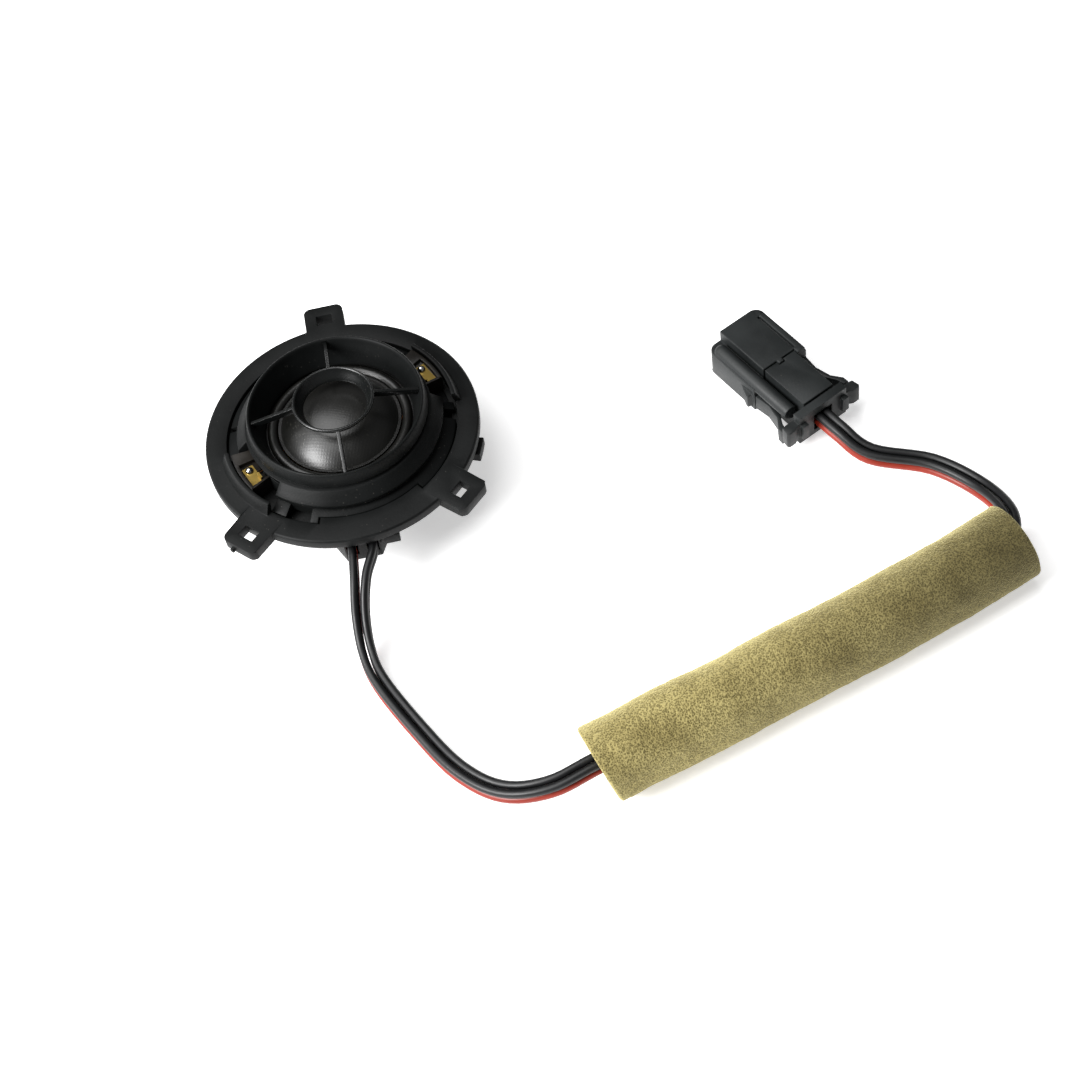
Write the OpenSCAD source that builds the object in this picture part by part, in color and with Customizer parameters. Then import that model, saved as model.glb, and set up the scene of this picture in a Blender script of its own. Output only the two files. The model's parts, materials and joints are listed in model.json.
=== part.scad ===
// Car tweeter with a three-tab mounting flange, a four-wire lead, a foam sleeve and a plug.
// Frame: +Z along the dome axis towards the listener, +Y towards the single top tab,
// origin on the axis at the flat back of the rear cover. Millimetres.

/* [Dome and motor] */
// Diameter of the dome and of the voice coil
coil_d = 25; // [18:0.5:32]
// Height of the dome above its rim
dome_h = 5; // [3:0.25:7]
// Free travel of the dome each way
dome_travel = 0.4; // [0.2:0.05:0.6]
// Width of the surround's roll
roll_w = 2.2; // [1.5:0.1:3.5]
// Thickness of the magnet
magnet_t = 5.5; // [3:0.25:8]
// Thickness of the pole plate on the magnet
pole_t = 2.6; // [1.5:0.1:4]
// Thickness of the motor pot's bottom
pot_base = 2.2; // [1.5:0.1:4]
// Thickness of the motor pot's wall
pot_wall = 2.2; // [1.5:0.1:3.5]
// Running gap on each side of the voice coil
coil_gap = 0.35; // [0.25:0.05:0.6]

/* [Horn and guard] */
// Radial growth of the horn from throat to mouth
horn_flare = 2.2; // [1:0.1:4]
// Height of the horn's lip above the flange
lip_rise = 8; // [6:0.25:11]
// Wall of the horn at its lip
lip_wall = 0.8; // [0.6:0.05:1.5]
// Outer diameter of the guard ring at its top
guard_d = 17.2; // [13:0.2:20]
// Height of the guard ring
guard_h = 2.5; // [1.5:0.1:3]
// Height of the guard ring's top above the lip
guard_rise = 2; // [1:0.1:3]
// Thickness of the guard's spokes
spoke_t = 0.7; // [0.6:0.05:1.5]

/* [Flange and chassis] */
// Thickness of the flange and its tabs
flange_t = 2.5; // [1.8:0.1:4]
// Width of the flange's flat rim
rim_w = 4.5; // [3:0.25:8]
// Width of the terminal channel round the horn's foot
channel_w = 5.3; // [4.5:0.1:8]
// Thickness of the chassis plate
chassis_t = 1.5; // [1:0.1:3]
// Width of each tab
tab_w = 8.4; // [6.5:0.2:12]
// Distance from the flange's rim to the slot's centre
slot_out = 2; // [1.6:0.1:4]
// Length of the slot in each tab, along the rim
slot_l = 3.4; // [2:0.1:5]
// Width of the slot in each tab
slot_w = 2.5; // [1.5:0.1:3]
// Plastic beyond the slot's centre, to the tab's end
tab_end = 3.8; // [3:0.1:6]

/* [Rear cover] */
// Wall of the rear cover
cover_wall = 1.5; // [1:0.1:3]
// Depth of the cover's wide tray below the flange
tray_h = 4.8; // [4.5:0.1:8]
// Width of the wire outlet boss
boss_w = 12; // [10:0.5:18]
// Reach of the wire outlet boss past the tray
boss_out = 2; // [1:0.1:4]

/* [Lead and foam] */
// Diameter of each wire over its insulation
wire_d = 1.7; // [1.2:0.1:1.8]
// Outer diameter of the foam sleeve
foam_d = 16; // [13:0.5:16]
// Bore of the foam sleeve
foam_bore = 9.4; // [9:0.1:10]

/* [Plug] */
// Width of the plug housing
plug_w = 14; // [12:0.5:20]
// Length of the plug from lock plate to nose
plug_l = 29; // [26:0.5:36]
// Height of the plug housing
plug_h = 9.4; // [8.4:0.2:12]
// Travel of the lock plate when it is pulled back
lock_travel = 1.5; // [0.5:0.1:2]

/* [Fits] */
// Gap between pieces that slip into each other
slip = 0.1; // [0.05:0.05:0.2]
// Gap between pieces that move past each other
move_gap = 0.3; // [0.2:0.05:0.5]

/* [Hidden] */
$fn = 96;

black = "#2b2d2e";
eps = 0.01;

// Radii, from the coil outwards
coil_r = coil_d / 2;
former_wall = 0.12;
winding_t = 0.45;
pot_r_in = coil_r + winding_t + coil_gap;
pot_r = pot_r_in + pot_wall;
roll_r_in = coil_r + 0.4;
roll_r = roll_r_in + roll_w;
throat_r = roll_r + 0.2;
mouth_r = throat_r + horn_flare;
hub_r = mouth_r + 1.1;
opening_r = hub_r + channel_w + slip;
flange_r = opening_r + rim_w;
skirt_r = opening_r - 2.6;
ledge_r = opening_r - 1.2;
chassis_r = ledge_r + 0.6;
cover_r_in = chassis_r + 0.3;
cover_r = cover_r_in + cover_wall;
slot_r = flange_r + slot_out;

// Heights, from the back of the cover upwards
pot_z = cover_wall;
magnet_z = pot_z + pot_base;
pole_z = magnet_z + magnet_t;
pot_top = pole_z + pole_t + 0.2;
chassis_z = pot_top;
flange_z = chassis_z + chassis_t;
face_z = flange_z + flange_t;
tray_z = flange_z - tray_h;
tray_floor = tray_z + cover_wall;
glue_z = face_z + 1.2;
glue_t = 0.3;
seat_z = glue_z + glue_t;
dome_z = seat_z + 0.3;
lip_z = face_z + lip_rise;
guard_top = lip_z + guard_rise;

// Terminal stations: the angle of each brass lug, and the arcs that its pocket takes
right_station = 25;
left_station = 203.4;
station_arc = [-22, 18];
block_arc = [-9, 17];
wall_arc = [-23, 18];
lug_r = hub_r + 2.3;
lug_z = face_z + 0.9;
lug_t = 0.4;
lug_l = 5.6;
lug_w = 2.4;
tail_w = 1.4;
tail_t = 0.5;

// Tabs, from the top one clockwise
tab_angles = [90, -45, 225];

// Crossover board in the tray, and the face that the wires meet
board_r_in = pot_r + slip + cover_wall + 0.3;
board_t = 1;
board_half_angle = 32;
board_face = cover_r_in - 0.7;
header_t = 1;
lead_z = tray_floor + board_t;

// Plug placement on the table, and its own values
plug_at = [97.7, -13.9];
plug_turn = 27;
plug_wire_z = 4.6;
plug_floor = 1.4;
plug_side = plug_w / 2;
plate_t = 2;
plate_reach = plug_side + 2.8;
plate_gap = 0.4;
arm_root = 13.4;
split_y = 14.8;
shoulder_x = 3.6 - plug_side;
shoulder_z = plug_h - 2.8;
rib_r = 1.6;
body_right = plug_side - 2;
key = [1.4, 0.8];
key_x = 0.2;
cavity = 1.9;
cavity_pitch = 3.3;
cavity_x = (shoulder_x + body_right) / 2;
window = 4.8;

// The lead's route, from the board to the plug, and each wire's place in it
route = [[0, -board_face, lead_z], [0, -board_face - 5, lead_z], [-1.4, -33.5, 10.2], [-2.8, -40, 6.8],
    [-3, -47, 3.2], [-1.3, -54, 1.9], [4.4, -66, 1.8], [10.6, -76.8, 2.2], [18, -84, 3.6], [27, -86.6, 6.2],
    [37, -84.6, 8], [56, -78.8, 8], [76, -72.6, 8], [97, -66, 8], [118.5, -57.8, 8],
    [124, -55.2, 8], [126.2, -48.4, 6.4], [124, -38.4, 2.8], [116.5, -29.4, 1.9], [105, -24, 2.4],
    plug_point(-4.8), plug_point(2.4)];
foam_start = 10;
foam_end = 14;
pair_x = 2.1;
row_offsets = [[2.1, -0.87], [2.1, 0.87], [-2.1, 0.87], [-2.1, -0.87]];
splay_offsets = [[1.2, -0.9], [1.2, 0.9], [-1.2, 0.9], [-1.2, -0.9]];
bundle_offsets = [[0.95, -0.95], [0.95, 0.95], [-0.95, 0.95], [-0.95, -0.95]];
foam_route = [[36.5, -84.9, 8], [59, -78.2, 8], [76, -72.8, 8], [95, -66.8, 8], [113.7, -60, 8],
    [125.4, -55.5, 8]];
wire_sides = 8;
foam_sides = 20;

// Sweeps -------------------------------------------------------------------------------------

function unit(v) = v / norm(v);
function heading(p, i) = unit(p[min(i + 1, len(p) - 1)] - p[max(i - 1, 0)]);
function side(t) = unit(cross(t, [0, 0, 1]));
// A point on the line on which the lead enters the plug, at a distance from the plug's back
function plug_point(y) =
    [plug_at[0] - y * sin(plug_turn), plug_at[1] + y * cos(plug_turn), plug_wire_z];
function turned(o, a) = [o[0] * cos(a) - o[1] * sin(a), o[0] * sin(a) + o[1] * cos(a)];

// How far the bundle has turned over at a point of the route: a quarter turn inside the sleeve
function twist(i) = -90 * min(max((i - foam_start) / (foam_end - foam_start), 0), 1);
function wire_offset(w, i) =
    i < 2 ? row_offsets[w] :
    i < 3 ? splay_offsets[w] :
    turned(bundle_offsets[w], twist(i));
function wire_point(w, i) =
    let (t = heading(route, i), s = side(t), u = cross(s, t), o = wire_offset(w, i))
    route[i] + o[0] * s + o[1] * u;
function wire_route(w) = [for (i = [0 : len(route) - 1]) wire_point(w, i)];

// One ring of points round a route, square to it
function ring(p, i, r, sides) =
    let (t = heading(p, i), s = side(t), u = cross(s, t))
    [for (k = [0 : sides - 1])
        let (a = 360 * (k + 0.5) / sides)
        p[i] + r * cos(a) * s + r * sin(a) * u];

module sweep(p, r, sides) {
    n = len(p);
    points = [for (i = [0 : n - 1]) each ring(p, i, r, sides)];
    walls = [for (i = [0 : n - 2], k = [0 : sides - 1])
        let (m = (k + 1) % sides)
        [i * sides + k, (i + 1) * sides + k, (i + 1) * sides + m, i * sides + m]];
    first = [for (k = [0 : sides - 1]) k];
    last = [for (k = [sides - 1 : -1 : 0]) (n - 1) * sides + k];
    polyhedron(points, concat(walls, [first, last]));
}

// A thick-walled tube along a route
module tube_sweep(p, r, bores, sides, lean) {
    n = len(p);
    far = n * sides;
    rings = concat(
        [for (i = [0 : n - 1]) ring(p, i, r, sides)],
        [for (i = [0 : n - 1]) ring(p, i, bores[i], sides)]);
    // Both ends are cut at a slant
    slants = [for (i = [0 : n - 1]) heading(p, i) * (i == 0 ? lean[0] : i == n - 1 ? lean[1] : 0)];
    points = [for (i = [0 : 2 * n - 1]) each
        [for (q = rings[i]) q - slants[i % n] * (q[2] - p[i % n][2])]];
    steps = [for (i = [0 : n - 2], k = [0 : sides - 1]) [i * sides + k, i * sides + (k + 1) % sides]];
    skin = [for (q = steps) [q[0], q[0] + sides, q[1] + sides, q[1]]];
    bore = [for (q = steps) [far + q[1], far + q[1] + sides, far + q[0] + sides, far + q[0]]];
    rims = [for (k = [0 : sides - 1])
        let (m = (k + 1) % sides, e = (n - 1) * sides)
        each [[k, m, far + m, far + k], [e + m, e + k, far + e + k, far + e + m]]];
    polyhedron(points, concat(skin, bore, rims));
}

// Shared shapes ------------------------------------------------------------------------------

// A ring of material between two radii, and from one height to another
module washer(r_out, r_in, z, h) {
    translate([0, 0, z]) difference() {
        cylinder(h = h, r = r_out);
        translate([0, 0, -1]) cylinder(h = h + 2, r = r_in);
    }
}

// The same over an arc from angle a to angle b
module arc_washer(r_out, r_in, z, h, a, b) {
    translate([0, 0, z]) rotate([0, 0, a]) rotate_extrude(angle = b - a) translate([r_in, 0])
        square([r_out - r_in, h]);
}

// Places a terminal station's pieces, which are drawn with the lug at angle 0
module at_station(left) {
    rotate([0, 0, left ? left_station : right_station]) mirror([0, left ? 1 : 0, 0]) children();
}

module rounded_rect(w, l, r) {
    translate([-w / 2 + r, 0]) square([w - 2 * r, l]);
    translate([-w / 2, 0]) square([w, l - r]);
    for (x = [-1, 1]) translate([x * (w / 2 - r), l - r]) circle(r);
}

// Flange, horn and guard ---------------------------------------------------------------------

module tab_outline() {
    translate([0, opening_r + 0.5]) rounded_rect(tab_w, slot_r - opening_r - 0.5 + tab_end, 1.5);
}

module tab_slot(h) {
    translate([-slot_l / 2, slot_r - slot_w / 2, -h / 2]) cube([slot_l, slot_w, h]);
}

module flange_ring() {
    edge = 0.35;
    translate([0, 0, flange_z]) rotate_extrude() polygon([
        [ledge_r, 0], [flange_r - edge, 0], [flange_r, edge], [flange_r, flange_t - edge],
        [flange_r - edge, flange_t], [opening_r, flange_t], [opening_r, 0.8], [ledge_r, 0.8]]);
}

// Raised wall that shields a terminal station from outside
module station_wall() {
    rise = 2.6;
    translate([0, 0, face_z - eps]) rotate([0, 0, wall_arc[0]])
        rotate_extrude(angle = wall_arc[1] - wall_arc[0])
        polygon([[opening_r, 0], [opening_r + 1.3, 0], [opening_r + 0.3, rise], [opening_r - 0.5, rise],
            [opening_r - 0.5, rise - 1]]);
}

module mounting_flange() {
    peg_r = 0.55;
    color(black) difference() {
        union() {
            flange_ring();
            // Narrow stretch of the opening under the horn's front
            arc_washer(opening_r + 0.5, opening_r - 1.5, flange_z, flange_t, 252, 306);
            for (left = [false, true]) at_station(left) station_wall();
            for (a = tab_angles) rotate([0, 0, a - 90]) translate([0, 0, flange_z])
                linear_extrude(flange_t) tab_outline();
            // Catch under the end of the tab at the top
            translate([-slot_l / 2 - 0.4, slot_r + slot_w / 2, flange_z - 1.3])
                cube([slot_l + 0.8, tab_end - slot_w / 2 - 0.7, 1.4]);
            // Moulding peg on one tab's end
            rotate([0, 0, 225 - 90]) translate([1.2, slot_r + tab_end + 0.7, flange_z + 0.9])
                rotate([90, 0, 0]) cylinder(h = 1.4, r = peg_r);
        }
        for (a = tab_angles) rotate([0, 0, a - 90]) translate([0, 0, flange_z]) tab_slot(4 * flange_t);
    }
}

module horn_profile() {
    foot = face_z - 1.2;
    neck = face_z + 4.4;
    polygon([
        [throat_r + 0.3, seat_z], [throat_r, seat_z + 0.8], [throat_r + horn_flare * 0.4, face_z + 4.6],
        [mouth_r - 0.2, lip_z - 0.8], [mouth_r, lip_z - 0.3], [mouth_r + 0.25, lip_z],
        [mouth_r + lip_wall - 0.25, lip_z], [mouth_r + lip_wall, lip_z - 0.35],
        [mouth_r + lip_wall + 0.45, neck + 0.7], [mouth_r + lip_wall, neck + 0.5],
        [mouth_r + lip_wall, neck], [mouth_r + lip_wall + 0.9, neck - 0.1],
        [skirt_r, face_z + 2.2], [skirt_r, face_z + 1.3], [skirt_r - 0.7, face_z + 1],
        [skirt_r - 0.7, face_z + 0.7], [skirt_r, face_z + 0.5], [opening_r - 0.4, face_z - 0.5],
        [opening_r - 0.4, foot], [hub_r + slip, foot], [hub_r + slip, seat_z]]);
}

// Spokes slope down from the guard ring to pockets in the horn's wall
module spoke(grow) {
    inner = guard_d / 2 - 0.7;
    outer = mouth_r + 0.15;
    drop = 2.2;
    depth = 1.5;
    top = guard_top - 0.3;
    rotate([90, 0, 0]) translate([0, 0, -spoke_t / 2 - grow]) linear_extrude(spoke_t + 2 * grow)
        polygon([[inner, top + grow], [outer + grow, top - drop + grow],
            [outer + grow, top - drop - depth - grow], [inner, top - depth - grow]]);
}

module horn() {
    station_r = mouth_r + lip_wall + 0.2;
    color(black) difference() {
        rotate_extrude() horn_profile();
        // Terminal stations cut the skirt and the apron away
        for (left = [false, true]) at_station(left)
            arc_washer(opening_r + 1, station_r, face_z - 2, 6.2, station_arc[0], station_arc[1]);
        for (k = [0 : 3]) rotate([0, 0, 90 * k]) spoke(slip / 2);
        // Room for the flange's narrow stretch
        arc_washer(opening_r + 1, opening_r - 1.5 - slip, face_z - 2, 2.6, 251, 307);
        // Notches in the apron
        arc_washer(opening_r + 1, skirt_r - 0.5, face_z - 2, 2.9, 234, 247);
        arc_washer(opening_r + 1, skirt_r - 0.5, face_z - 2, 2.9, 164, 167);
        arc_washer(opening_r + 1, skirt_r - 0.5, face_z - 2, 2.9, -8, -2);
    }
}

module guard_ring() {
    taper = 1.4;
    wall = 0.75;
    r = guard_d / 2;
    z = guard_top - guard_h;
    color(black) union() {
        rotate_extrude() polygon([
            [r - taper - wall, z], [r - taper - 0.15, z], [r - 0.1, guard_top - 0.5],
            [r - 0.25, guard_top - 0.1], [r - 0.5, guard_top], [r - 0.75, guard_top - 0.1],
            [r - 0.9, guard_top - 0.5]]);
        for (k = [0 : 3]) rotate([0, 0, 90 * k]) spoke(0);
    }
}

// Diaphragm and motor ------------------------------------------------------------------------

module dome_cap(r, h, t) {
    sphere_r = (r * r + h * h) / (2 * h);
    intersection() {
        translate([0, 0, h - sphere_r]) difference() {
            sphere(r = sphere_r);
            sphere(r = sphere_r - t);
        }
        cylinder(h = h + 1, r = r);
    }
}

module dome() {
    skin = 0.3;
    color("#4a4844") translate([0, 0, dome_z]) union() {
        dome_cap(coil_r, dome_h, skin);
        washer(coil_r + 0.25, coil_r - 0.4, 0, skin);
    }
}

module surround() {
    skin = 0.25;
    mid = (roll_r_in + roll_r) / 2;
    half = roll_w / 2;
    color("#3a3835") rotate_extrude() union() {
        intersection() {
            translate([mid, seat_z]) difference() {
                circle(r = half, $fn = 32);
                circle(r = half - skin, $fn = 32);
            }
            translate([mid - half, seat_z]) square([roll_w, half]);
        }
        translate([roll_r - skin, glue_z]) square([hub_r - 1.5 - slip - roll_r + skin, glue_t]);
        translate([roll_r - skin, glue_z]) square([skin, glue_t + 0.2]);
    }
}

module coil_former() {
    color("#b9a36a") washer(coil_r, coil_r - former_wall, pole_z - 0.2, dome_z - pole_z + 0.2);
}

module voice_coil() {
    color("#b8642c") washer(coil_r + winding_t, coil_r, pole_z - 0.1, pole_t + 0.4);
}

module damping_felt() {
    color("#8d8a82") translate([0, 0, pole_z + pole_t]) cylinder(h = 2, r = coil_r * 0.7);
}

module pole_plate() {
    color("#9aa0a4") translate([0, 0, pole_z]) cylinder(h = pole_t, r = coil_r - former_wall - coil_gap);
}

module magnet() {
    color("#c3c5c7") translate([0, 0, magnet_z]) cylinder(h = magnet_t, r = coil_r - 1.5);
}

module motor_pot() {
    color("#8a8f93") difference() {
        translate([0, 0, pot_z]) cylinder(h = pot_top - pot_z, r = pot_r);
        translate([0, 0, magnet_z]) cylinder(h = pot_top, r = pot_r_in);
    }
}

module chassis() {
    bore = coil_r + winding_t + 0.5;
    notch = 1;
    color("#1f2021") difference() {
        union() {
            washer(chassis_r, bore, chassis_z, chassis_t);
            washer(hub_r, bore, chassis_z, seat_z - chassis_z);
        }
        // Step for the surround's glue ring
        washer(hub_r - 1.5, bore - 1, glue_z, seat_z);
        // Window over the crossover capacitor
        arc_washer(chassis_r + 1, hub_r + 0.2, chassis_z - 1, chassis_t + 2, 255, 285);
        // Slots for the terminals' tails, and channels for the coil's leads
        for (left = [false, true]) at_station(left) {
            translate([lug_r - tail_t / 2 - slip, -tail_w / 2 - slip, chassis_z - 1])
                cube([tail_t + 2 * slip, tail_w + 2 * slip, chassis_t + 2]);
            translate([bore - 1, -notch / 2, glue_z - 1]) cube([hub_r - bore + 2, notch, 1.2]);
        }
    }
}

// Terminals and crossover --------------------------------------------------------------------

// Carrier that holds the lug in a shallow pocket
module terminal_block(left) {
    floor_z = lug_z;
    pocket = atan((lug_l / 2 - 0.2) / (lug_r - lug_w / 2));
    color("#332c28") at_station(left) difference() {
        arc_washer(chassis_r - 0.2, hub_r + slip, flange_z, face_z + 1.9 - flange_z,
            block_arc[0], block_arc[1]);
        translate([0, 0, floor_z]) arc_washer(chassis_r - 1, hub_r - 1, 0, 4, -pocket, pocket + 1.5);
        translate([lug_r - tail_t / 2 - slip, -tail_w / 2 - slip, flange_z - 1])
            cube([tail_t + 2 * slip, tail_w + 2 * slip, 8]);
        // Channel for the coil's lead
        translate([hub_r, -0.5, glue_z - 1]) cube([lug_r - lug_w / 2 - hub_r + 0.2, 1, 2]);
        // The block's outer wall stands inside the flange's ledge
        washer(opening_r + 2, ledge_r - 0.1, flange_z - 1, 2);
    }
}

module terminal_block_left() { terminal_block(true); }
module terminal_block_right() { terminal_block(false); }

module terminal_lug(left) {
    color("#b08d2f") at_station(left) {
        union() {
            translate([lug_r - lug_w / 2, -lug_l / 2 + 0.4, lug_z]) cube([lug_w, lug_l - 0.8, lug_t]);
            translate([lug_r - tail_t / 2, -tail_w / 2, tray_floor + 0.3])
                cube([tail_t, tail_w, lug_z + lug_t - tray_floor - 0.3]);
            // Upturned tongue that the coil's lead is soldered to
            translate([lug_r - lug_w / 2, -lug_l / 2 + 0.4, lug_z]) cube([lug_t, 1.6, 1.4]);
        }
    }
}

module terminal_lug_left() { terminal_lug(true); }
module terminal_lug_right() { terminal_lug(false); }

module solder_joints() {
    bead_r = 0.85;
    color("#d5d7d8") for (left = [false, true]) at_station(left)
        translate([lug_r, 1.3, lug_z + lug_t]) intersection() {
            scale(1) sphere(r = bead_r, $fn = 32);
            translate([-1, -1, 0]) cube([2, 2, 1]);
        }
}

// Fine leads from the coil, out under the surround to each lug
module coil_leads() {
    lead_r = 0.15;
    inner = coil_r + winding_t + 0.1;
    color("#b8642c") for (left = [false, true]) at_station(left)
        translate([inner, 0, glue_z - lead_r - 0.05]) rotate([0, 90, 0])
            cylinder(h = lug_r - lug_w / 2 - inner, r = lead_r, $fn = 24);
}

// Insulated leads that lie in the tray between the board and the lugs' tails
module inner_leads() {
    lead_r = 0.6;
    z = tray_floor + lead_r;
    gap = atan((tail_w / 2 + 0.02) / lug_r);
    edge = board_half_angle;
    color("#5a5c5e") {
        rotate([0, 0, 270 + edge]) rotate_extrude(angle = 90 - edge + right_station - gap)
            translate([lug_r, z]) circle(r = lead_r, $fn = 24);
        rotate([0, 0, left_station + gap]) rotate_extrude(angle = 270 - edge - left_station - gap)
            translate([lug_r, z]) circle(r = lead_r, $fn = 24);
    }
}

module crossover_board() {
    tongue_w = 8.6;
    color("#3f6b3a") difference() {
        union() {
            arc_washer(cover_r_in - 0.4, board_r_in, tray_floor, board_t, 270 - board_half_angle,
                270 + board_half_angle);
            translate([-tongue_w / 2, -board_face, tray_floor]) cube([tongue_w, 3, board_t]);
        }
        // Straight edge that the wires are soldered to
        translate([-tongue_w / 2, -board_face - 3, tray_floor - 1]) cube([tongue_w, 3, board_t + 2]);
    }
}

// Wire header on the board: its face is in line with the board's straight edge
module lead_header() {
    size = [2 * pair_x + wire_d + 0.4, header_t, 2.1];
    color("#d8d2c0") translate([-size[0] / 2, -board_face, tray_floor + board_t]) cube(size);
}

module crossover_capacitor() {
    size = [7.4, board_face - header_t - hub_r - 0.8, 2.4];
    color("#a5452c") translate([-size[0] / 2, -hub_r - 0.5 - size[1], tray_floor + board_t]) cube(size);
}

// Rear cover ---------------------------------------------------------------------------------

module cover_shell() {
    cup_r = pot_r + slip + cover_wall;
    rotate_extrude() polygon([
        [0, 0], [cup_r - 0.8, 0], [cup_r, 0.8], [cup_r, tray_z], [cover_r - 1, tray_z],
        [cover_r, tray_z + 1], [cover_r, flange_z], [cover_r_in, flange_z], [cover_r_in, tray_floor],
        [pot_r + slip, tray_floor], [pot_r + slip, cover_wall], [0, cover_wall]]);
}

module wire_boss() {
    drop = 1.4;
    y = cover_r + boss_out;
    translate([0, 0, tray_z - drop]) linear_extrude(flange_z - tray_z + drop) polygon([
        [-boss_w / 2, -cover_r + 3], [-boss_w / 2 + 2.4, -y], [boss_w / 2 - 2.4, -y],
        [boss_w / 2, -cover_r + 3]]);
}

module rear_cover() {
    hole = [2.3, 3.9];
    color(black) difference() {
        union() {
            cover_shell();
            difference() {
                wire_boss();
                translate([0, 0, tray_floor]) cylinder(h = 20, r = cover_r_in);
                translate([0, 0, -1]) cylinder(h = 20, r = pot_r + 2);
            }
            // Snap hook that shows at the flange's edge
            arc_washer(flange_r + 0.7, cover_r - 0.5, flange_z - 2.6, 2.2, -24, -15);
            // Keying block beside the outlet
            translate([boss_w / 2 - 1.6, -cover_r - 2, flange_z - 3]) cube([3.4, 3.5, 2.6]);
            // Short ribs that hook under the flange, out of sight
            for (a = [50, 140]) arc_washer(flange_r - 1.5, cover_r - 0.5, flange_z - 2.6, 2.2, a, a + 9);
        }
        // Two outlets, each for a pair of wires
        for (x = [-1, 1]) translate([x * pair_x - hole[0] / 2, -cover_r - 6, lead_z - hole[1] / 2])
            cube([hole[0], cover_r + 6.1 - board_face, hole[1]]);
        // Room behind the outlets for the wires' ends
        translate([-4.4, -board_face - 0.3, tray_floor]) cube([8.8, 3, flange_z - tray_floor + 1]);
    }
}

// Lead and foam ------------------------------------------------------------------------------

module wire(w, shade) {
    color(shade) sweep(wire_route(w), wire_d / 2, wire_sides);
}

module wire_red() { wire(0, "#b23a2a"); }
module wire_black_a() { wire(1, "#1c1d1e"); }
module wire_black_b() { wire(2, "#1c1d1e"); }
module wire_black_c() { wire(3, "#1c1d1e"); }

module foam_sleeve() {
    // The bore is drawn in round the lead at its first end, and spread by the bend at its last
    last = len(foam_route) - 1;
    bores = [for (i = [0 : last]) (i < 2 ? 0.62 : i < last ? 1 : 1.16) * foam_bore / 2];
    color("#b3a66e") tube_sweep(foam_route, foam_d / 2, bores, foam_sides, [0.2, 0.14]);
}

// Plug: drawn with its nose towards +Y and its lock plate's back at the origin ---------------

module place_plug() {
    translate([plug_at[0], plug_at[1], 0]) rotate([0, 0, plug_turn]) children();
}

module plug_outline() {
    translate([0, arm_root + 0.2]) rounded_rect(plug_w, plug_l - arm_root - 0.2, 2.2);
}

// Snap barb on the plug's side
module barb(z, h) {
    translate([0, 0, z]) linear_extrude(h) polygon([
        [plug_side - 0.5, split_y + 3.2], [plug_side, split_y + 3], [plug_side + 1.1, split_y + 0.2],
        [plug_side + 1.1, split_y - 0.3], [plug_side - 0.5, split_y - 0.6]]);
}

module plug_housing() {
    groove = 0.6;
    color("#303436") place_plug() difference() {
        union() {
            // Front shell, with a lower shoulder on its left
            difference() {
                linear_extrude(plug_h) plug_outline();
                translate([-plug_w, 0, shoulder_z]) cube([plug_w + shoulder_x, plug_l + 1, plug_h]);
                translate([shoulder_x - 1, 0, plug_floor]) cube([body_right - shoulder_x + 1, split_y, 20]);
            }
            // Floor under the rear body
            translate([shoulder_x - 0.6, plate_t + plate_gap, 0])
                cube([body_right - shoulder_x, split_y - 1, plug_floor]);
            // Shelf and rounded rib along the left side
            translate([-plug_side + 0.6, 4, shoulder_z - 0.8])
                cube([plug_side + shoulder_x - 0.9, split_y, 0.8]);
            translate([-plug_side + 0.1 + rib_r, 4, shoulder_z]) rotate([-90, 0, 0])
                cylinder(h = plug_l - 7, r = rib_r, $fn = 32);
            translate([-plug_side + 0.1 + rib_r, plug_l - 3, shoulder_z]) sphere(r = rib_r, $fn = 32);
            // Web between the shelf and the floor
            translate([shoulder_x - 0.9, 4, 0]) cube([0.6, split_y, shoulder_z]);
            barb(2, 5);
            // Key on the edge that the rear body meets
            translate([key_x, split_y - 0.1 - key[1], plug_h - 1.2]) cube([key[0], key[1] + 0.2, 1.2]);
            mirror([1, 0, 0]) barb(1, 3.6);
        }
        // Narrow groove beside the top face
        translate([body_right, split_y + 0.5, plug_h - 0.8]) cube([groove, plug_l - split_y - 3, 2]);
        // Contact cavities, open at the nose
        for (x = [-1, 1], z = [-1, 1])
            translate([cavity_x + x * cavity_pitch / 2 - cavity / 2, split_y + 1,
                plug_h / 2 + z * cavity_pitch / 2 - cavity / 2]) cube([cavity, plug_l, cavity]);
    }
}

module plug_rear_body() {
    left = shoulder_x + 0.3 - 0.1;
    y = plate_t + plate_gap;
    color("#303436") place_plug() difference() {
        translate([left, y, plug_floor + slip])
            cube([body_right - 0.2 - left, split_y - 0.3 - y, plug_h - 0.2 - plug_floor - slip]);
        // Notch for the housing's key
        translate([key_x - slip, split_y - 0.3 - key[1], plug_h - 1.5])
            cube([key[0] + 2 * slip, key[1] + 1, 3]);
        // Holes for the lock plate's guide pegs
        for (x = [left + 0.9, body_right - 1.1]) translate([x, y - 1, plug_h - 1.5]) rotate([-90, 0, 0])
            cylinder(h = 6.5, r = 0.6 + move_gap / 2, $fn = 32);
    }
}

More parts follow.
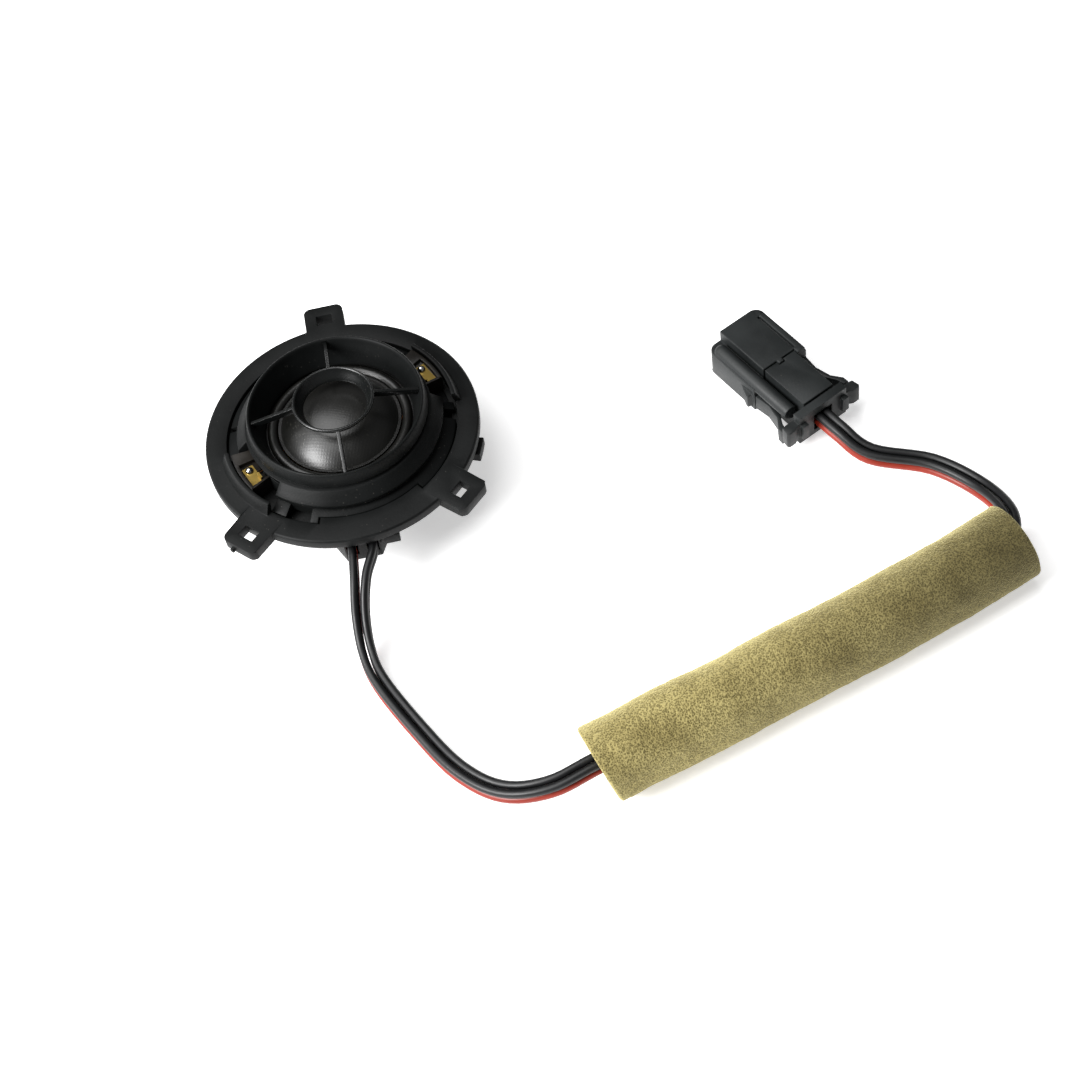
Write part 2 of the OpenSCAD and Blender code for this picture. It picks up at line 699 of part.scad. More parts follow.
module plug_lock_plate() {
    left = shoulder_x + 0.3 - 0.1;
    color("#303436") place_plug() difference() {
        union() {
            translate([-plug_side + 0.6, 0, 1]) cube([plug_w - 1.2, plate_t, plug_h - 1.4]);
            // Finger wings at both ends, swept back a little, and a nub beside each
            for (x = [0, 1]) mirror([x, 0, 0]) translate([0, 0, 2.8]) linear_extrude(4.4) polygon([
                [plug_side - 1.2, 0], [plug_side, 0], [plug_side + 0.9, -0.5], [plate_reach - 0.4, -0.5],
                [plate_reach, 0], [plate_reach - 0.3, plate_t - 0.2], [plug_side + 1.4, plate_t],
                [plug_side - 1.2, plate_t]]);
            for (x = [-1, 1]) translate([x * (plug_side - 1.6) - 0.8, -1, 3]) cube([1.6, 1.5, 4]);
            for (x = [left + 0.9, body_right - 1.1]) translate([x, plate_t - 0.5, plug_h - 1.5])
                rotate([-90, 0, 0]) cylinder(h = 4.5, r = 0.6, $fn = 32);
        }
        translate([-window / 2, -3, plug_wire_z - window / 2]) cube([window, 8, window]);
    }
}

// Sprung side arm, with its root against the housing and its free end beside the lock plate
module latch_arm(z, h) {
    tip = plate_t + 0.4;
    translate([0, 0, z]) linear_extrude(h) polygon([
        [plug_side - 0.1, arm_root], [plug_side - 0.5, 9.6], [plug_side + 0.3, 6],
        [plug_side + 1.9, 3.8], [plug_side + 2, tip], [plug_side + 0.9, tip],
        [plug_side + 0.4, 4.2], [plug_side - 0.9, 6.4], [plug_side - 1.4, 9.6],
        [plug_side - 1.4, arm_root]]);
}

module latch_arm_right() {
    color("#303436") place_plug() latch_arm(1.4, 5.4);
}

module latch_arm_left() {
    color("#303436") place_plug() mirror([1, 0, 0]) latch_arm(0.8, shoulder_z - rib_r - move_gap - 0.8);
}

module plug_contacts() {
    w = cavity - 2 * slip;
    color("#c9a84a") place_plug() for (x = [-1, 1], z = [-1, 1])
        translate([cavity_x + x * cavity_pitch / 2 - w / 2, split_y + 1,
            plug_h / 2 + z * cavity_pitch / 2 - w / 2]) cube([w, plug_l - split_y - 3, w]);
}

mounting_flange();
horn();
guard_ring();
dome();
surround();
coil_former();
voice_coil();
damping_felt();
pole_plate();
magnet();
motor_pot();
chassis();
terminal_block_left();
terminal_block_right();
terminal_lug_left();
terminal_lug_right();
solder_joints();
coil_leads();
inner_leads();
crossover_board();
crossover_capacitor();
lead_header();
rear_cover();
wire_red();
wire_black_a();
wire_black_b();
wire_black_c();
foam_sleeve();
plug_housing();
plug_rear_body();
plug_lock_plate();
latch_arm_left();
latch_arm_right();
plug_contacts();
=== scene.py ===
import json
import math

import bmesh
import bpy
from bpy.props import FloatProperty, FloatVectorProperty, IntProperty, PointerProperty
from mathutils import Matrix, Vector, noise

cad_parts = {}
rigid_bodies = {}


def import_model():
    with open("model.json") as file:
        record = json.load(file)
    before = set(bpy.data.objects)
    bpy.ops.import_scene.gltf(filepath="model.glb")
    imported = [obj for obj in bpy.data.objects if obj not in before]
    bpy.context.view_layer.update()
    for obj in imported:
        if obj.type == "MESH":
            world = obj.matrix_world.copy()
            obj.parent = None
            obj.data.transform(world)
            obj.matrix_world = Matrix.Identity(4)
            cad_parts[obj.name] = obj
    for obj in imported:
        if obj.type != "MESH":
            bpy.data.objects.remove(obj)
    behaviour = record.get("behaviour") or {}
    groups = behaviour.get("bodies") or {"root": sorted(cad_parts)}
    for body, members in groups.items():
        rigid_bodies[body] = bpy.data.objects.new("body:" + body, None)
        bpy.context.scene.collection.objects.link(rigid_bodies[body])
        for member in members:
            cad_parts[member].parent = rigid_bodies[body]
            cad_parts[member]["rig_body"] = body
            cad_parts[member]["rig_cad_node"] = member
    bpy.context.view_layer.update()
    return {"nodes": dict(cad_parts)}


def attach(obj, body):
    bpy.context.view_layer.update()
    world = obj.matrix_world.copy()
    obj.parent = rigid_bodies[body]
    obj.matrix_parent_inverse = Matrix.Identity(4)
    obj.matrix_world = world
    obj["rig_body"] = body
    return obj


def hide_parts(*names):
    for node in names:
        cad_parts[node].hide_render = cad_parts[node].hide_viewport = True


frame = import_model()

bl_info = {
    "name": "Car tweeter",
    "version": (1, 0, 0),
    "blender": (4, 5, 0),
    "location": "3D View > Sidebar > Tweeter",
    "description": "Finishes a car tweeter with its lead, foam sleeve and plug",
    "category": "Object",
}

# Points of the lead's route from the crossover board to the plug, in metres
ROUTE = [
    (0.0, -0.023, 0.0112), (0.0, -0.028, 0.0112), (-0.0014, -0.0335, 0.0102),
    (-0.0028, -0.04, 0.0068), (-0.003, -0.047, 0.0032), (-0.0013, -0.054, 0.0019),
    (0.0044, -0.066, 0.0018), (0.0106, -0.0768, 0.0022), (0.018, -0.084, 0.0036),
    (0.027, -0.0866, 0.0062), (0.037, -0.0846, 0.008), (0.056, -0.0788, 0.008),
    (0.076, -0.0726, 0.008), (0.097, -0.066, 0.008), (0.1185, -0.0578, 0.008),
    (0.124, -0.0552, 0.008), (0.1262, -0.0484, 0.0064), (0.124, -0.0384, 0.0028),
    (0.1165, -0.0294, 0.0019), (0.105, -0.024, 0.0024),
    (0.09988, -0.01818, 0.0046), (0.09661, -0.01176, 0.0046),
]
# Where each wire lies across the lead, in millimetres: in two outlets, splayed, then bundled
ROW = [(2.1, -0.87), (2.1, 0.87), (-2.1, 0.87), (-2.1, -0.87)]
SPLAY = [(1.2, -0.9), (1.2, 0.9), (-1.2, 0.9), (-1.2, -0.9)]
BUNDLE = [(0.95, -0.95), (0.95, 0.95), (-0.95, 0.95), (-0.95, -0.95)]
WIRES = ["wire_red", "wire_black_a", "wire_black_b", "wire_black_c"]
# Points of the route where the wires leave their outlets, where they have closed up, and
# between which the bundle turns over inside the sleeve
OUTLETS_END, SPLAY_END = 2, 3
FOAM_FROM, FOAM_TO = 10, 14

# Centre line of the foam sleeve, in metres
FOAM_LINE = [
    (0.0365, -0.0849, 0.008), (0.059, -0.0782, 0.008), (0.076, -0.0728, 0.008),
    (0.095, -0.0668, 0.008), (0.1137, -0.06, 0.008), (0.1254, -0.0555, 0.008),
]

# Cut ends, bore and skin of the foam sleeve, in metres and shares of the sleeve's length
FOAM_SIDES = 128
FOAM_EDGE = 0.0006
END_RINGS, BORE_RINGS = 11, 30
FIRST_SLANT, LAST_SLANT, SLANT_REACH = 0.2, 0.14, 0.012
SEAM_ANGLE = math.radians(-25)
FLOOR_GAP = 0.0002

# Rounding of each moulding's edges, in millimetres
MM = 0.001
MOULDED = {"mounting_flange": 0.12, "horn": 0.12, "guard_ring": 0.1, "rear_cover": 0.2,
           "chassis": 0.1}
TERMINAL_BLOCKS = {"terminal_block_left": 0.1, "terminal_block_right": 0.1}
PLUG_PARTS = {"plug_housing": 0.25, "plug_rear_body": 0.16, "plug_lock_plate": 0.2,
              "latch_arm_left": 0.12, "latch_arm_right": 0.12}
PLUG_BODIES = {"plug_lock_plate": "lock_plate", "latch_arm_left": "left_arm",
               "latch_arm_right": "right_arm"}
MERGE_DISTANCE = 0.000002
ROUNDED_ANGLE, SMOOTH_ANGLE = math.radians(32), math.radians(30)


# Sizes and colours that a user may change ----------------------------------------------------

class TweeterView(bpy.types.PropertyGroup):
    camera_place: FloatVectorProperty(
        name="Camera place", description="Where the camera stands", subtype="TRANSLATION",
        unit="LENGTH", default=(0.02862, -0.2848, 0.35976))
    camera_aim: FloatVectorProperty(
        name="Camera aim", description="The point that the camera looks at", subtype="TRANSLATION",
        unit="LENGTH", default=(0.034853, -0.037912, 0.016))
    camera_roll: FloatProperty(
        name="Camera roll", description="Turn of the camera about its own line of sight",
        subtype="ANGLE", default=math.radians(10.7))
    camera_angle: FloatProperty(
        name="Field of view", description="Angle that the camera takes in", subtype="ANGLE",
        default=math.radians(28))
    key_power: FloatProperty(
        name="Key light", description="Power of the large light at the front left", min=0,
        subtype="POWER", unit="POWER", default=13.0)
    top_power: FloatProperty(
        name="Top light", description="Power of the soft light overhead", min=0, subtype="POWER",
        unit="POWER", default=8.0)
    sky: FloatProperty(
        name="Room light", description="Strength of the even light from all round", min=0,
        default=0.16)


class TweeterPlastic(bpy.types.PropertyGroup):
    black: FloatVectorProperty(
        name="Moulding colour", description="Colour of the tweeter's black mouldings",
        subtype="COLOR", min=0, max=1, default=(0.0032, 0.0036, 0.0036))
    plug: FloatVectorProperty(
        name="Plug colour", description="Colour of the plug's mouldings", subtype="COLOR", min=0,
        max=1, default=(0.0084, 0.0098, 0.0100))
    grain_depth: FloatProperty(
        name="Grain depth", description="Depth of the moulded grain", subtype="DISTANCE",
        unit="LENGTH", min=0, default=0.00002)


class TweeterLead(bpy.types.PropertyGroup):
    wire_d: FloatProperty(
        name="Wire diameter", description="Diameter of each wire over its insulation",
        subtype="DISTANCE", unit="LENGTH", min=0.0005, default=0.0017)
    length: FloatProperty(
        name="Lead length", description="Length of each wire from the board to the plug",
        subtype="DISTANCE", unit="LENGTH", min=0.05, default=0.2405)
    red: FloatVectorProperty(
        name="Red insulation", description="Colour of the red wire", subtype="COLOR", min=0, max=1,
        default=(0.20, 0.016, 0.006))
    black: FloatVectorProperty(
        name="Black insulation", description="Colour of the black wires", subtype="COLOR", min=0,
        max=1, default=(0.0035, 0.0038, 0.0042))


class TweeterFoam(bpy.types.PropertyGroup):
    outer_d: FloatProperty(
        name="Foam diameter", description="Outer diameter of the foam sleeve", subtype="DISTANCE",
        unit="LENGTH", min=0.01, default=0.016)
    bore_d: FloatProperty(
        name="Foam bore", description="Bore of the foam sleeve", subtype="DISTANCE",
        unit="LENGTH", min=0.004, default=0.0094)
    light: FloatVectorProperty(
        name="Cell walls", description="Colour of the foam's cell walls", subtype="COLOR", min=0,
        max=1, default=(0.40, 0.335, 0.135))
    dark: FloatVectorProperty(
        # The pit colour is painted shade inside the foam's open cells
        name="Cell pits", description="Colour inside the foam's open cells", subtype="COLOR",
        min=0, max=1, default=(0.088, 0.07, 0.02))
    rings: IntProperty(
        name="Rings", description="Rings of the foam's mesh along its length", min=20, default=300)


class TweeterMotor(bpy.types.PropertyGroup):
    dome: FloatVectorProperty(
        name="Dome cloth", description="Colour of the coated dome cloth", subtype="COLOR", min=0,
        max=1, default=(0.0026, 0.0026, 0.0021))
    brass: FloatVectorProperty(
        name="Brass", description="Colour of the terminal lugs", subtype="COLOR", min=0, max=1,
        default=(0.41, 0.285, 0.075))


# Small helpers -------------------------------------------------------------------------------

def only(*pieces):
    """Selects these pieces alone and makes the first of them active."""
    if bpy.context.object and bpy.context.object.mode != "OBJECT":
        bpy.ops.object.mode_set(mode="OBJECT")
    bpy.ops.object.select_all(action="DESELECT")
    for piece in pieces:
        piece.select_set(True)
    bpy.context.view_layer.objects.active = pieces[0]


def dress(piece, material):
    """Gives the piece this material alone."""
    piece.data.materials.clear()
    piece.data.materials.append(material)


def smooth_line(points, steps):
    """A smooth line through the points, as many short steps for each."""
    knots = [Vector(point) for point in points]
    knots = [knots[0] * 2 - knots[1]] + knots + [knots[-1] * 2 - knots[-2]]
    line = []
    for a, b, c, d in zip(knots, knots[1:], knots[2:], knots[3:]):
        for k in range(steps):
            t = k / steps
            line.append(0.5 * ((2 * b) + (c - a) * t + (2 * a - 5 * b + 4 * c - d) * t * t
                               + (3 * b - a - 3 * c + d) * t ** 3))
    line.append(knots[-2])
    return line


def running_length(line):
    """Length of the line up to each of its points."""
    total = [0.0]
    for start, end in zip(line, line[1:]):
        total.append(total[-1] + (end - start).length)
    return total


def heading(line, i):
    """Direction of the line at one of its points."""
    return (line[min(i + 1, len(line) - 1)] - line[max(i - 1, 0)]).normalized()


def finished_copy(node, width, material, body):
    """A copy of a CAD node with its doubled points merged and its edges softly rounded."""
    source = frame["nodes"][node]
    only(source)
    bpy.ops.object.duplicate()
    piece = bpy.context.object
    piece.name = node + "_moulding"
    piece.parent = None
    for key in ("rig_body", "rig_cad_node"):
        if key in piece:
            del piece[key]
    bpy.ops.object.mode_set(mode="EDIT")
    bpy.ops.mesh.select_all(action="SELECT")
    bpy.ops.mesh.remove_doubles(threshold=MERGE_DISTANCE)
    bpy.ops.object.mode_set(mode="OBJECT")
    if piece.data.has_custom_normals:
        bpy.ops.mesh.customdata_custom_splitnormals_clear()
    rounding = piece.modifiers.new("Rounded edges", "BEVEL")
    rounding.width = width * MM
    rounding.segments = 2
    rounding.limit_method = "ANGLE"
    rounding.angle_limit = ROUNDED_ANGLE
    rounding.use_clamp_overlap = False
    bpy.ops.object.modifier_apply(modifier=rounding.name)
    bpy.ops.object.shade_smooth_by_angle(angle=SMOOTH_ANGLE)
    dress(piece, material)
    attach(piece, body)
    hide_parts(node)
    return piece


# Shared effects ------------------------------------------------------------------------------

def new_group(name, inputs, outputs):
    """An empty node group with these sockets, and its two end nodes."""
    group = bpy.data.node_groups.new(name, "ShaderNodeTree")
    for socket, kind, value in inputs:
        made = group.interface.new_socket(name=socket, in_out="INPUT", socket_type=kind)
        if value is not None:
            made.default_value = value
    for socket, kind in outputs:
        group.interface.new_socket(name=socket, in_out="OUTPUT", socket_type=kind)
    return group, group.nodes.new("NodeGroupInput"), group.nodes.new("NodeGroupOutput")


def moulded_grain():
    """Fine pebbled grain of a moulded surface, and slow changes of its gloss."""
    name = "Moulded grain"
    if name in bpy.data.node_groups:
        return bpy.data.node_groups[name]
    group, gin, gout = new_group(
        name,
        [("Place", "NodeSocketVector", None), ("Scale", "NodeSocketFloat", 2500.0)],
        [("Height", "NodeSocketFloat"), ("Gloss", "NodeSocketFloat")])
    fine = group.nodes.new("ShaderNodeTexNoise")
    fine.inputs["Detail"].default_value = 3
    cells = group.nodes.new("ShaderNodeTexVoronoi")
    slow = group.nodes.new("ShaderNodeTexNoise")
    slow.inputs["Scale"].default_value = 140
    slow.inputs["Detail"].default_value = 5
    add = group.nodes.new("ShaderNodeMath")
    add.operation = "MULTIPLY_ADD"
    add.inputs[1].default_value = 0.4
    link = group.links.new
    link(gin.outputs["Place"], fine.inputs["Vector"])
    link(gin.outputs["Place"], cells.inputs["Vector"])
    link(gin.outputs["Place"], slow.inputs["Vector"])
    link(gin.outputs["Scale"], fine.inputs["Scale"])
    link(gin.outputs["Scale"], cells.inputs["Scale"])
    link(cells.outputs["Distance"], add.inputs[0])
    link(fine.outputs["Fac"], add.inputs[2])
    link(add.outputs[0], gout.inputs["Height"])
    link(slow.outputs["Fac"], gout.inputs["Gloss"])
    return group


def dust_specks():
    """Sparse specks of dust and lint that lie on a surface."""
    name = "Dust specks"
    if name in bpy.data.node_groups:
        return bpy.data.node_groups[name]
    group, gin, gout = new_group(
        name,
        [("Place", "NodeSocketVector", None), ("Scale", "NodeSocketFloat", 600.0),
         ("Share", "NodeSocketFloat", 0.12)],
        [("Mask", "NodeSocketFloat")])
    cells = group.nodes.new("ShaderNodeTexVoronoi")
    patches = group.nodes.new("ShaderNodeTexNoise")
    patches.inputs["Scale"].default_value = 90
    near = group.nodes.new("ShaderNodeMath")
    near.operation = "LESS_THAN"
    both = group.nodes.new("ShaderNodeMath")
    both.operation = "MULTIPLY"
    lifted = group.nodes.new("ShaderNodeMapRange")
    lifted.inputs["From Min"].default_value = 0.48
    lifted.inputs["From Max"].default_value = 0.7
    link = group.links.new
    link(gin.outputs["Place"], cells.inputs["Vector"])
    link(gin.outputs["Scale"], cells.inputs["Scale"])
    link(gin.outputs["Place"], patches.inputs["Vector"])
    link(cells.outputs["Distance"], near.inputs[0])
    link(gin.outputs["Share"], near.inputs[1])
    link(patches.outputs["Fac"], lifted.inputs["Value"])
    link(near.outputs[0], both.inputs[0])
    link(lifted.outputs["Result"], both.inputs[1])
    link(both.outputs[0], gout.inputs["Mask"])
    return group


def place_group(tree, group, place, **values):
    """Adds a shared effect to a material, with values of its own."""
    node = tree.nodes.new("ShaderNodeGroup")
    node.node_tree = group
    tree.links.new(place, node.inputs["Place"])
    for key, value in values.items():
        node.inputs[key].default_value = value
    return node


def blank_material(name):
    """A new material, its tree, its shader, and the place on the piece."""
    material = bpy.data.materials.new(name)
    material.use_nodes = True
    tree = material.node_tree
    shader = next(n for n in tree.nodes if n.type == "BSDF_PRINCIPLED")
    place = tree.nodes.new("ShaderNodeTexCoord").outputs["Object"]
    return material, tree, shader, place


def mixed(tree, mask, low, high):
    """A colour between two, by the mask."""
    mix = tree.nodes.new("ShaderNodeMix")
    mix.data_type = "RGBA"
    tree.links.new(mask, mix.inputs[0])
    mix.inputs[6].default_value = (*low, 1)
    mix.inputs[7].default_value = (*high, 1)
    return mix.outputs[2]


def multiplied(tree, first, second):
    """The product of two colours."""
    mix = tree.nodes.new("ShaderNodeMix")
    mix.data_type = "RGBA"
    mix.blend_type = "MULTIPLY"
    mix.inputs[0].default_value = 1
    tree.links.new(first, mix.inputs[6])
    tree.links.new(second, mix.inputs[7])
    return mix.outputs[2]


def dusted(tree, tone, place, scale, share, dust):
    """The tone with specks of dust on it."""
    specks = place_group(tree, dust_specks(), place, Scale=scale, Share=share)
    mix = tree.nodes.new("ShaderNodeMix")
    mix.data_type = "RGBA"
    tree.links.new(specks.outputs["Mask"], mix.inputs[0])
    tree.links.new(tone, mix.inputs[6])
    mix.inputs[7].default_value = (*dust, 1)
    return mix.outputs[2]


def ranged(tree, value, low, high, start=0.3, end=0.7):
    """The value, stretched from one range to another."""
    node = tree.nodes.new("ShaderNodeMapRange")
    tree.links.new(value, node.inputs["Value"])
    node.inputs["From Min"].default_value = start
    node.inputs["From Max"].default_value = end
    node.inputs["To Min"].default_value = low
    node.inputs["To Max"].default_value = high
    return node.outputs["Result"]


def bumped(tree, shader, height, depth, strength=1.0):
    """Lets the height roughen the surface, to this depth in metres."""
    bump = tree.nodes.new("ShaderNodeBump")
    bump.inputs["Strength"].default_value = strength
    bump.inputs["Distance"].default_value = depth
    tree.links.new(height, bump.inputs["Height"])
    tree.links.new(bump.outputs["Normal"], shader.inputs["Normal"])


def moulded_plastic(name, colour, gloss=(0.36, 0.5), dust=0.1, scale=2600.0, specular=0.3):
    """Moulded plastic with a fine grain, uneven gloss and a little dust."""
    if name in bpy.data.materials:
        return bpy.data.materials[name]
    sizes = bpy.context.scene.tweeter_plastic
    material, tree, shader, place = blank_material(name)
    grain = place_group(tree, moulded_grain(), place, Scale=scale)
    light = tuple(min(1, c * 1.5 + 0.001) for c in colour)
    tone = mixed(tree, ranged(tree, grain.outputs["Gloss"], 0, 1), colour, light)
    tree.links.new(dusted(tree, tone, place, 900.0, dust, (0.04, 0.038, 0.034)),
                   shader.inputs["Base Color"])
    tree.links.new(ranged(tree, grain.outputs["Gloss"], *gloss), shader.inputs["Roughness"])
    shader.inputs["Specular IOR Level"].default_value = specular
    bumped(tree, shader, grain.outputs["Height"], sizes.grain_depth)
    return material


def wire_insulation(name, colour):
    """Glossy extruded insulation with faint draw marks and scuffs."""
    if name in bpy.data.materials:
        return bpy.data.materials[name]
    material, tree, shader, place = blank_material(name)
    grain = place_group(tree, moulded_grain(), place, Scale=1800.0)
    light = tuple(min(1, c * 1.35 + 0.001) for c in colour)
    tone = mixed(tree, ranged(tree, grain.outputs["Gloss"], 0, 1), colour, light)
    tree.links.new(tone, shader.inputs["Base Color"])
    tree.links.new(ranged(tree, grain.outputs["Gloss"], 0.34, 0.5), shader.inputs["Roughness"])
    shader.inputs["Specular IOR Level"].default_value = 0.35
    bumped(tree, shader, grain.outputs["Height"], 0.000012)
    return material


def metal(name, colour, gloss=(0.2, 0.4), marks=900.0):
    """Metal with uneven tone and gloss, and faint marks."""
    if name in bpy.data.materials:
        return bpy.data.materials[name]
    material, tree, shader, place = blank_material(name)
    grain = place_group(tree, moulded_grain(), place, Scale=marks)
    dark = tuple(c * 0.7 for c in colour)
    tone = mixed(tree, ranged(tree, grain.outputs["Gloss"], 0, 1), dark, colour)
    tree.links.new(tone, shader.inputs["Base Color"])
    tree.links.new(ranged(tree, grain.outputs["Gloss"], *gloss), shader.inputs["Roughness"])
    shader.inputs["Metallic"].default_value = 1
    bumped(tree, shader, grain.outputs["Height"], 0.00001)
    return material


def open_cell_foam():
    """Tan open-cell foam: pits between pale cell walls with painted shade in the pits, darker
    patches, and glinting walls.
    """
    name = "Open-cell foam"
    if name in bpy.data.materials:
        return bpy.data.materials[name]
    sizes = bpy.context.scene.tweeter_foam
    material, tree, shader, place = blank_material(name)
    cells = tree.nodes.new("ShaderNodeTexVoronoi")
    cells.feature = "F1"
    cells.inputs["Scale"].default_value = 2700
    walls = tree.nodes.new("ShaderNodeTexNoise")
    walls.inputs["Scale"].default_value = 4200
    walls.inputs["Detail"].default_value = 4
    patches = tree.nodes.new("ShaderNodeTexNoise")
    patches.inputs["Scale"].default_value = 120
    patches.inputs["Detail"].default_value = 6
    for node in (cells, walls, patches):
        tree.links.new(place, node.inputs["Vector"])
    height = tree.nodes.new("ShaderNodeMath")
    height.operation = "MULTIPLY"
    tree.links.new(cells.outputs["Distance"], height.inputs[0])
    tree.links.new(walls.outputs["Fac"], height.inputs[1])
    # Painted shade: the pits of the open cells are coloured darker than their walls
    pits = mixed(tree, ranged(tree, height.outputs[0], 0, 1, 0.08, 0.36), sizes.dark, sizes.light)
    worn = mixed(tree, ranged(tree, patches.outputs["Fac"], 0, 1, 0.35, 0.62),
                 (0.66, 0.64, 0.58), (1, 1, 1))
    # The half of the sleeve towards the plug is darker
    split = tree.nodes.new("ShaderNodeSeparateXYZ")
    tree.links.new(place, split.inputs[0])
    darker_towards_plug = mixed(tree, ranged(tree, split.outputs[0], 0, 1, 0.06, 0.12),
                   (1, 1, 1), (0.34, 0.335, 0.32))
    tree.links.new(multiplied(tree, multiplied(tree, pits, worn), darker_towards_plug),
                   shader.inputs["Base Color"])
    shader.inputs["Roughness"].default_value = 0.85
    shader.inputs["Specular IOR Level"].default_value = 0.2
    # Cell walls seen edge on catch more light
    shader.inputs["Sheen Weight"].default_value = 0.85
    shader.inputs["Sheen Roughness"].default_value = 0.45
    shader.inputs["Sheen Tint"].default_value = (0.95, 0.84, 0.42, 1)
    bumped(tree, shader, height.outputs[0], 0.0003, 0.9)
    return material


def dome_cloth():
    """Coated woven cloth of the dome: a fine weave under a soft coat, with lint."""
    name = "Dome cloth"
    if name in bpy.data.materials:
        return bpy.data.materials[name]
    sizes = bpy.context.scene.tweeter_motor
    material, tree, shader, place = blank_material(name)
    weave = None
    for turn in (0, math.pi / 2):
        mapping = tree.nodes.new("ShaderNodeMapping")
        mapping.inputs["Rotation"].default_value = (0, 0, turn + 0.4)
        wave = tree.nodes.new("ShaderNodeTexWave")
        wave.inputs["Scale"].default_value = 520
        wave.inputs["Distortion"].default_value = 0.6
        tree.links.new(place, mapping.inputs["Vector"])
        tree.links.new(mapping.outputs["Vector"], wave.inputs["Vector"])
        if weave is None:
            weave = wave.outputs["Fac"]
        else:
            top = tree.nodes.new("ShaderNodeMath")
            top.operation = "MAXIMUM"
            tree.links.new(weave, top.inputs[0])
            tree.links.new(wave.outputs["Fac"], top.inputs[1])
            weave = top.outputs[0]
    grain = place_group(tree, moulded_grain(), place, Scale=1400.0)
    light = tuple(c * 1.5 for c in sizes.dome)
    tone = mixed(tree, ranged(tree, grain.outputs["Gloss"], 0, 1), sizes.dome, light)
    tree.links.new(dusted(tree, tone, place, 1500.0, 0.16, (0.07, 0.068, 0.058)),
                   shader.inputs["Base Color"])
    tree.links.new(ranged(tree, grain.outputs["Gloss"], 0.3, 0.42), shader.inputs["Roughness"])
    shader.inputs["Specular IOR Level"].default_value = 0.4
    shader.inputs["Coat Weight"].default_value = 0.4
    shader.inputs["Coat Roughness"].default_value = 0.3
    bumped(tree, shader, weave, 0.00002, 0.6)
    return material


# Stage ---------------------------------------------------------------------------------------

def area_light(name, place, aim, size, power):
    """A soft light at one place, turned to another."""
    bpy.ops.object.light_add(type="AREA", location=place)
    lamp = bpy.context.object
    lamp.name = name
    lamp.rotation_euler = (Vector(aim) - Vector(place)).to_track_quat("-Z", "Y").to_euler()
    lamp.data.shape = "RECTANGLE"
    lamp.data.size, lamp.data.size_y = size
    lamp.data.energy = power
    return lamp


class TWEETER_OT_stage(bpy.types.Operator):
    """Sets the camera, the floor and the studio light"""
    bl_idname = "tweeter.stage"
    bl_label = "Stage"

    def execute(self, context):
        view = context.scene.tweeter_view
        place, aim = Vector(view.camera_place), Vector(view.camera_aim)
        bpy.ops.object.camera_add(location=place)
        camera = context.object
        camera.name = "camera"
        level = (aim - place).to_track_quat("-Z", "Y").to_matrix()
        camera.rotation_euler = (level @ Matrix.Rotation(-view.camera_roll, 3, "Z")).to_euler()
        camera.data.sensor_width = 36
        camera.data.lens = 18 / math.tan(view.camera_angle / 2)
        camera.data.clip_start = 0.01
        context.scene.camera = camera

        bpy.ops.mesh.primitive_plane_add(size=6, location=(0.05, -0.04, -0.0002))
        floor = context.object
        floor.name = "floor"
        material, tree, shader, where = blank_material("Paper floor")
        shader.inputs["Roughness"].default_value = 0.9
        shader.inputs["Specular IOR Level"].default_value = 0.1
        shader.inputs["Emission Color"].default_value = (1, 1, 1, 1)
        shader.inputs["Emission Strength"].default_value = 0.5
        fibres = place_group(tree, moulded_grain(), where, Scale=500.0)
        tree.links.new(
            mixed(tree, fibres.outputs["Gloss"], (0.90, 0.90, 0.90), (0.93, 0.93, 0.93)),
            shader.inputs["Base Color"])
        dress(floor, material)

        middle = (0.05, -0.04, 0.0)
        area_light("key_light", (-0.6, -0.24, 0.48), middle, (0.42, 0.42), view.key_power)
        area_light("top_light", (-0.3, 0.12, 0.9), middle, (0.8, 0.8), view.top_power)

        world = bpy.data.worlds.new("Studio")
        world.use_nodes = True
        back = world.node_tree.nodes["Background"]
        back.inputs["Color"].default_value = (1, 1, 1, 1)
        back.inputs["Strength"].default_value = view.sky
        context.scene.world = world
        context.scene.view_settings.view_transform = "Standard"
        return {"FINISHED"}


# Lead and foam -------------------------------------------------------------------------------

def wire_points(index):
    """The route of one wire: its place in the lead turns over inside the foam sleeve."""
    route = [Vector(p) for p in ROUTE]
    points = []
    for i, point in enumerate(route):
        ahead = heading(route, i)
        side = ahead.cross(Vector((0, 0, 1))).normalized()
        up = side.cross(ahead)
        if i < OUTLETS_END:
            across, above = ROW[index]
        elif i < SPLAY_END:
            across, above = SPLAY[index]
        else:
            inside = min(max((i - FOAM_FROM) / (FOAM_TO - FOAM_FROM), 0), 1)
            turn = -math.pi / 2 * inside
            x, y = BUNDLE[index]
            across = x * math.cos(turn) - y * math.sin(turn)
            above = x * math.sin(turn) + y * math.cos(turn)
        points.append(point + side * across * MM + up * above * MM)
    return points


def make_wire(name, index, material):
    """One wire of the lead, as a cord along its own line."""
    sizes = bpy.context.scene.tweeter_lead
    line = smooth_line(wire_points(index), 6)
    curve = bpy.data.curves.new(name + "_line", "CURVE")
    curve.dimensions = "3D"
    spline = curve.splines.new("POLY")
    spline.points.add(len(line) - 1)
    for point, place in zip(spline.points, line):
        point.co = (*place, 1)
    spline.use_smooth = True
    curve.bevel_depth = sizes.wire_d / 2
    curve.bevel_resolution = 5
    curve.use_fill_caps = True
    wire = bpy.data.objects.new(name + "_insulation", curve)
    bpy.context.scene.collection.objects.link(wire)
    curve.materials.append(material)
    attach(wire, "frame")
    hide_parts(name)
    return wire


